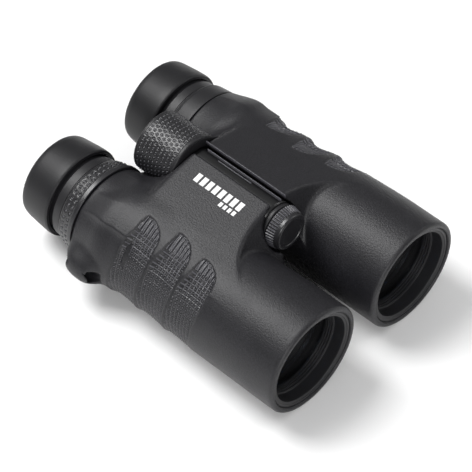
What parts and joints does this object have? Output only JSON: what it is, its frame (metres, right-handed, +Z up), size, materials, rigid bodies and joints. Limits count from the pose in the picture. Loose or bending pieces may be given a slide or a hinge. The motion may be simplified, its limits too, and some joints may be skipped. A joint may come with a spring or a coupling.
{
  "type": "binoculars",
  "caption": "Roof-prism binoculars with ribbed rubber skin, twist-up eyecups, a central focusing wheel, a dioptre ring and a folding hinge.",
  "frame": {"origin": "middle of the bounding box's base: the plane that the objective tubes lie on, midway between the two tubes and midway between the eyecup rims and the front faces", "axes": "+Y along the optical axes towards the objectives, +X to the user's right, +Z up"},
  "size_m": [0.132, 0.1604, 0.0658],
  "materials": {
    "skin_rubber": "satin, fine grain",
    "grip_rubber": "satin, raised pips and ribs",
    "cup_rubber": "soft satin",
    "housing_plastic": "satin",
    "cell_aluminium": "black anodised, threaded against stray light",
    "arm_steel": "turned",
    "socket_brass": "turned",
    "optical_glass": "polished, coated against reflections",
    "oring_rubber": "matt",
    "panel_print": "pad printed"
  },
  "bodies": {
    "right_barrel": {"right_housing": "housing_plastic", "right_armour": "skin_rubber", "right_front_ring": "housing_plastic", "right_neck_tube": "housing_plastic", "right_objective_cell": "cell_aluminium", "right_crown_lens": "optical_glass", "right_flint_lens": "optical_glass", "right_lens_retainer": "cell_aluminium", "right_prism_cage": "cell_aluminium", "right_roof_prism": "optical_glass", "right_half_penta_prism": "optical_glass", "hinge_axle": "arm_steel", "tripod_socket": "socket_brass"},
    "left_barrel": {"left_housing": "housing_plastic", "left_armour": "skin_rubber", "left_front_ring": "housing_plastic", "left_neck_tube": "housing_plastic", "left_objective_cell": "cell_aluminium", "left_crown_lens": "optical_glass", "left_flint_lens": "optical_glass", "left_lens_retainer": "cell_aluminium", "left_prism_cage": "cell_aluminium", "left_roof_prism": "optical_glass", "left_half_penta_prism": "optical_glass", "left_collar": "housing_plastic", "hinge_cover": "housing_plastic", "hinge_bush_rear": "socket_brass", "hinge_bush_front": "socket_brass", "left_eyepiece_cell": "cell_aluminium", "left_eye_lens": "optical_glass", "left_field_lens": "optical_glass"},
    "focus_wheel": {"focus_wheel": "housing_plastic", "wheel_grip": "grip_rubber", "focus_screw": "arm_steel"},
    "focus_carriage": {"focus_rod": "arm_steel", "focus_pin": "arm_steel", "focus_collar": "socket_brass"},
    "right_focus": {"right_focus_cell": "cell_aluminium", "right_focus_lens": "optical_glass", "right_focus_arm": "arm_steel"},
    "left_focus": {"left_focus_cell": "cell_aluminium", "left_focus_lens": "optical_glass", "left_focus_arm": "arm_steel"},
    "diopter_ring": {"diopter_ring": "housing_plastic"},
    "right_eyepiece": {"right_eyepiece_cell": "cell_aluminium", "right_eye_lens": "optical_glass", "right_field_lens": "optical_glass"},
    "right_cup_brake": {"right_eyecup_oring": "oring_rubber"},
    "right_eyecup": {"right_eyecup_rubber": "cup_rubber", "right_eyecup_sleeve": "housing_plastic"},
    "left_cup_brake": {"left_eyecup_oring": "oring_rubber"},
    "left_eyecup": {"left_eyecup_rubber": "cup_rubber", "left_eyecup_sleeve": "housing_plastic"},
    "cap_washer": {"cap_washer": "oring_rubber"},
    "tripod_cap": {"tripod_cap": "housing_plastic"}
  },
  "joints": [
    {"name": "interpupillary_hinge", "type": "hinge", "parent": "right_barrel", "child": "left_barrel", "pos_m": [0, 0, 0.0502], "axis": [0, 1, 0], "range_deg": [-22.5, 19]},
    {"name": "focus_turn", "type": "hinge", "parent": "right_barrel", "child": "focus_wheel", "pos_m": [0, 0, 0.0502], "axis": [0, 1, 0], "range_deg": [-200, 200]},
    {"name": "focus_carriage_slide", "type": "slide", "parent": "right_barrel", "child": "focus_carriage", "axis": [0, 1, 0], "range_m": [-0.00202, 0.00202]},
    {"name": "right_focus_slide", "type": "slide", "parent": "right_barrel", "child": "right_focus", "axis": [0, 1, 0], "range_m": [-0.00215, 0.00215]},
    {"name": "left_focus_slide", "type": "slide", "parent": "left_barrel", "child": "left_focus", "axis": [0, 1, 0], "range_m": [-0.00215, 0.00215]},
    {"name": "diopter_turn", "type": "hinge", "parent": "right_barrel", "child": "diopter_ring", "pos_m": [0.03315, 0, 0.0275], "axis": [0, 1, 0], "range_deg": [-40, 40]},
    {"name": "right_eyepiece_slide", "type": "slide", "parent": "right_barrel", "child": "right_eyepiece", "axis": [0, 1, 0], "range_m": [-0.0009, 0.0009]},
    {"name": "right_eyecup_slide", "type": "slide", "parent": "right_barrel", "child": "right_cup_brake", "axis": [0, 1, 0], "range_m": [-0.0001, 0.0062]},
    {"name": "right_eyecup_twist", "type": "hinge", "parent": "right_cup_brake", "child": "right_eyecup", "pos_m": [0.03315, 0, 0.0275], "axis": [0, 1, 0], "range_deg": [0, 120]},
    {"name": "left_eyecup_slide", "type": "slide", "parent": "left_barrel", "child": "left_cup_brake", "axis": [0, 1, 0], "range_m": [-0.0001, 0.0062]},
    {"name": "left_eyecup_twist", "type": "hinge", "parent": "left_cup_brake", "child": "left_eyecup", "pos_m": [-0.03315, 0, 0.0275], "axis": [0, 1, 0], "range_deg": [0, 120]},
    {"name": "tripod_cap_slide", "type": "slide", "parent": "right_barrel", "child": "cap_washer", "axis": [0, 1, 0], "range_m": [0, 0.0063]},
    {"name": "tripod_cap_turn", "type": "hinge", "parent": "cap_washer", "child": "tripod_cap", "pos_m": [0, 0, 0.0502], "axis": [0, 1, 0], "range_deg": [0, 1800]}
  ],
  "couplings": [
    {"joint": "focus_turn", "follows": "focus_carriage_slide", "rad_per_m": 1724.1},
    {"joint": "right_focus_slide", "follows": "focus_carriage_slide", "ratio": 1},
    {"joint": "left_focus_slide", "follows": "focus_carriage_slide", "ratio": 1},
    {"joint": "diopter_turn", "follows": "right_eyepiece_slide", "rad_per_m": 775.7},
    {"joint": "right_eyecup_slide", "follows": "right_eyecup_twist", "m_per_rad": 0.0028648},
    {"joint": "left_eyecup_slide", "follows": "left_eyecup_twist", "m_per_rad": 0.0028648},
    {"joint": "tripod_cap_turn", "follows": "tripod_cap_slide", "rad_per_m": 4947.4}
  ]
}
